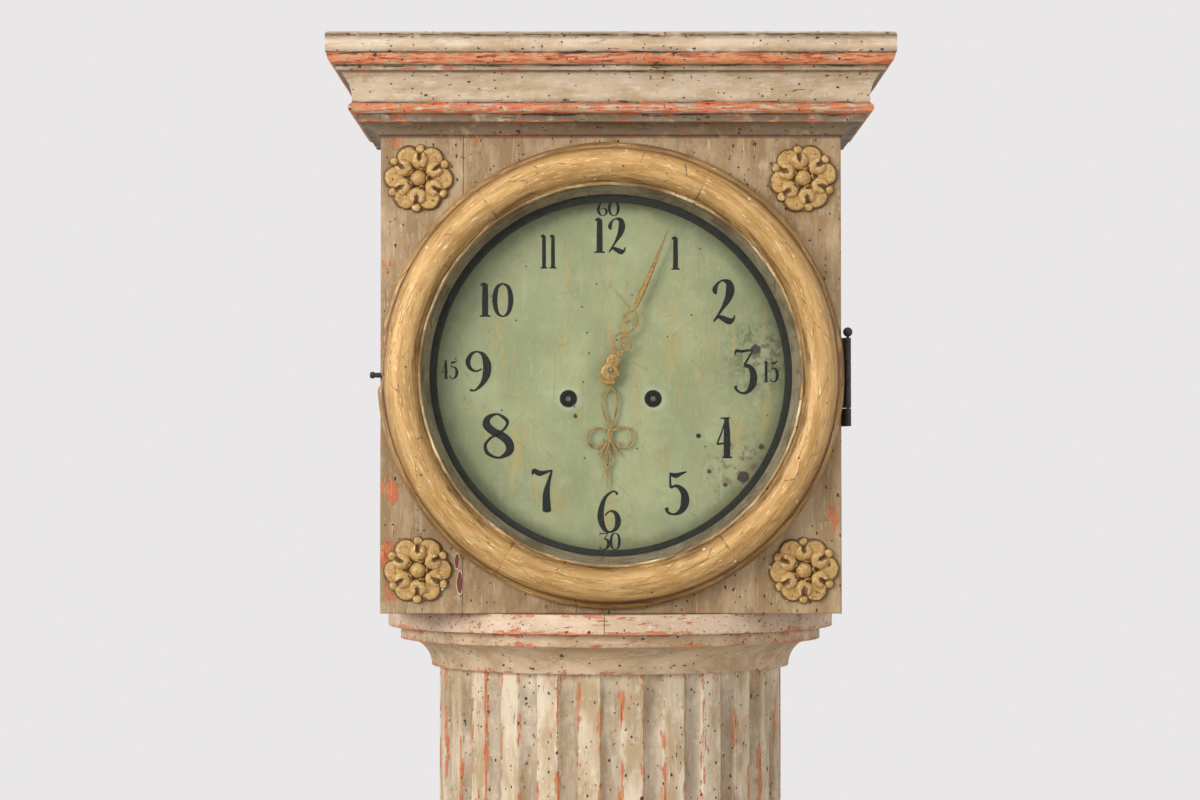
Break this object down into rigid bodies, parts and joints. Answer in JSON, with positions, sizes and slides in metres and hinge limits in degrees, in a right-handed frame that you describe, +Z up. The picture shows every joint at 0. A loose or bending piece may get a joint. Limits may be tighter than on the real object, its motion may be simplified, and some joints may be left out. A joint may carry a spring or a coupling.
{
  "type": "mora clock",
  "caption": "Painted longcase clock with a square hood, round gilt glazed door, half-round fluted trunk, striking movement, pendulum and weights.",
  "frame": {"origin": "on the floor, at the middle of the clock's outer box", "axes": "+X to the right as one faces the dial, +Y from the front to the wall, +Z up"},
  "size_m": [0.588, 0.288, 2.2],
  "materials": {
    "painted_wood": "old greige oil paint, worn through to red at the edges",
    "bare_pine": "unpainted, darkened",
    "gilt_wood": "old water gilding, rubbed",
    "clear_glass": "polished",
    "putty": "hardened linseed putty",
    "forged_iron": "blackened",
    "cast_brass": "aged",
    "steel": "dull",
    "bell_metal": "turned",
    "painted_iron": "aged green oil paint",
    "gut": "twisted gut"
  },
  "bodies": {
    "case": {"backboard": "bare_pine", "plinth_box": "painted_wood", "plinth_top": "painted_wood", "plinth_skirt": "painted_wood", "column_base": "painted_wood", "column_staves": "painted_wood", "column_head_and_foot": "painted_wood", "column_hinge_leaves": "forged_iron", "neck_moulding": "painted_wood", "neck_shelf": "painted_wood", "shelf_edging": "painted_wood", "seat_board": "bare_pine", "movement_front_plate": "cast_brass", "movement_back_plate": "cast_brass", "pillars_and_dial_feet": "steel", "dial_plate": "painted_iron", "suspension_cock": "cast_brass", "bell_stands": "steel", "bells": "bell_metal"},
    "hood": {"hood_front": "painted_wood", "hood_sides": "painted_wood", "hood_floor": "painted_wood", "hood_top": "painted_wood", "cornice_front": "painted_wood", "cornice_returns": "painted_wood", "rosettes": "gilt_wood", "hood_hinge_pintle": "forged_iron"},
    "bezel": {"bezel_ring": "gilt_wood", "bezel_lip": "gilt_wood", "glass": "clear_glass", "glazing_putty": "putty", "bezel_hinge_leaf": "forged_iron", "bezel_pull": "forged_iron"},
    "trunk_door": {"column_door": "painted_wood", "door_hinge_leaves": "forged_iron"},
    "door_catch": {"door_turn_catch": "cast_brass"},
    "minute_work": {"centre_wheel": "cast_brass", "cannon_pinion": "cast_brass", "minute_hand": "cast_brass"},
    "hour_work": {"hour_wheel": "cast_brass", "hour_hand": "cast_brass"},
    "minute_wheel_body": {"minute_wheel": "cast_brass"},
    "going_great": {"going_great_wheel": "cast_brass"},
    "going_drum": {"going_barrel": "cast_brass"},
    "third": {"third_wheel": "cast_brass"},
    "escape": {"escape_wheel": "cast_brass"},
    "strike_great": {"strike_great_wheel": "cast_brass"},
    "strike_drum": {"strike_barrel": "cast_brass"},
    "pin": {"pin_wheel": "cast_brass"},
    "hoop": {"hoop_wheel": "cast_brass"},
    "fly_body": {"fly": "steel"},
    "hammer_body": {"hammer": "steel"},
    "pendulum": {"pendulum_rod": "steel", "pendulum_bob": "cast_brass"},
    "anchor": {"anchor_and_crutch": "steel"},
    "going_load": {"going_weight": "forged_iron", "going_line": "gut"},
    "strike_load": {"strike_weight": "forged_iron", "strike_line": "gut"}
  },
  "joints": [
    {"name": "hood_slide", "type": "slide", "parent": "case", "child": "hood", "axis": [0, -1, 0], "range_m": [0, 0.3]},
    {"name": "bezel_hinge", "type": "hinge", "parent": "hood", "child": "bezel", "pos_m": [0.2465, -0.094, 1.848], "axis": [0, 0, 1], "range_deg": [0, 110]},
    {"name": "trunk_door_hinge", "type": "hinge", "parent": "case", "child": "trunk_door", "pos_m": [0.14521, -0.00465, 0.96], "axis": [0, 0, 1], "range_deg": [0, 100]},
    {"name": "door_catch_turn", "type": "hinge", "parent": "trunk_door", "child": "door_catch", "pos_m": [-0.10736, -0.03154, 0.96], "axis": [-0.5681, -0.823, 0], "range_deg": [0, 90]},
    {"name": "minute_turn", "type": "hinge", "parent": "case", "child": "minute_work", "pos_m": [0, 0, 1.854], "axis": [0, 1, 0], "continuous": true},
    {"name": "hour_turn", "type": "hinge", "parent": "case", "child": "hour_work", "pos_m": [0, 0, 1.854], "axis": [0, 1, 0], "continuous": true},
    {"name": "minute_wheel_turn", "type": "hinge", "parent": "case", "child": "minute_wheel_body", "pos_m": [0, 0, 1.834], "axis": [0, 1, 0], "continuous": true},
    {"name": "going_great_turn", "type": "hinge", "parent": "case", "child": "going_great", "pos_m": [0.0444, 0, 1.8244], "axis": [0, 1, 0], "continuous": true},
    {"name": "going_winding", "type": "hinge", "parent": "going_great", "child": "going_drum", "pos_m": [0.0444, 0, 1.8244], "axis": [0, 1, 0], "continuous": true},
    {"name": "third_turn", "type": "hinge", "parent": "case", "child": "third", "pos_m": [0.014, 0, 1.8832], "axis": [0, 1, 0], "continuous": true},
    {"name": "escape_turn", "type": "hinge", "parent": "case", "child": "escape", "pos_m": [0, 0, 1.9085], "axis": [0, 1, 0], "continuous": true},
    {"name": "strike_great_turn", "type": "hinge", "parent": "case", "child": "strike_great", "pos_m": [-0.0444, 0, 1.8244], "axis": [0, 1, 0], "continuous": true},
    {"name": "strike_winding", "type": "hinge", "parent": "strike_great", "child": "strike_drum", "pos_m": [-0.0444, 0, 1.8244], "axis": [0, 1, 0], "continuous": true},
    {"name": "pin_wheel_turn", "type": "hinge", "parent": "case", "child": "pin", "pos_m": [-0.05, 0, 1.87], "axis": [0, 1, 0], "continuous": true},
    {"name": "hoop_wheel_turn", "type": "hinge", "parent": "case", "child": "hoop", "pos_m": [-0.0598, 0, 1.8971], "axis": [0, 1, 0], "continuous": true},
    {"name": "fly_turn", "type": "hinge", "parent": "case", "child": "fly_body", "pos_m": [-0.0598, 0, 1.9195], "axis": [0, 1, 0], "continuous": true},
    {"name": "hammer_lift", "type": "hinge", "parent": "case", "child": "hammer_body", "pos_m": [-0.084, 0, 1.856], "axis": [0, 1, 0], "range_deg": [-1.5, 1.5], "stiffness_Nm_per_rad": 5},
    {"name": "pendulum_swing", "type": "hinge", "parent": "case", "child": "pendulum", "pos_m": [0, 0.06, 1.9425], "axis": [0, 1, 0], "range_deg": [-2.5, 2.5]},
    {"name": "anchor_rock", "type": "hinge", "parent": "case", "child": "anchor", "pos_m": [0, 0, 1.9425], "axis": [0, 1, 0], "range_deg": [-2.5, 2.5]},
    {"name": "going_fall", "type": "slide", "parent": "case", "child": "going_load", "axis": [0, 0, 1], "range_m": [0, 0.45], "deforming": ["going_line"]},
    {"name": "strike_fall", "type": "slide", "parent": "case", "child": "strike_load", "axis": [0, 0, 1], "range_m": [0, 0.45], "deforming": ["strike_line"]}
  ],
  "couplings": [
    {"joint": "hour_turn", "follows": "minute_turn", "ratio": 0.083333},
    {"joint": "minute_wheel_turn", "follows": "minute_turn", "ratio": -0.33333},
    {"joint": "going_great_turn", "follows": "minute_turn", "ratio": -0.083333},
    {"joint": "third_turn", "follows": "minute_turn", "ratio": -8},
    {"joint": "escape_turn", "follows": "minute_turn", "ratio": 60},
    {"joint": "pin_wheel_turn", "follows": "strike_great_turn", "ratio": -9.75},
    {"joint": "hoop_wheel_turn", "follows": "strike_great_turn", "ratio": 78},
    {"joint": "fly_turn", "follows": "strike_great_turn", "ratio": -468},
    {"joint": "anchor_rock", "follows": "pendulum_swing", "ratio": 1},
    {"joint": "going_winding", "follows": "going_fall", "rad_per_m": 52.083},
    {"joint": "strike_winding", "follows": "strike_fall", "rad_per_m": 52.083}
  ]
}
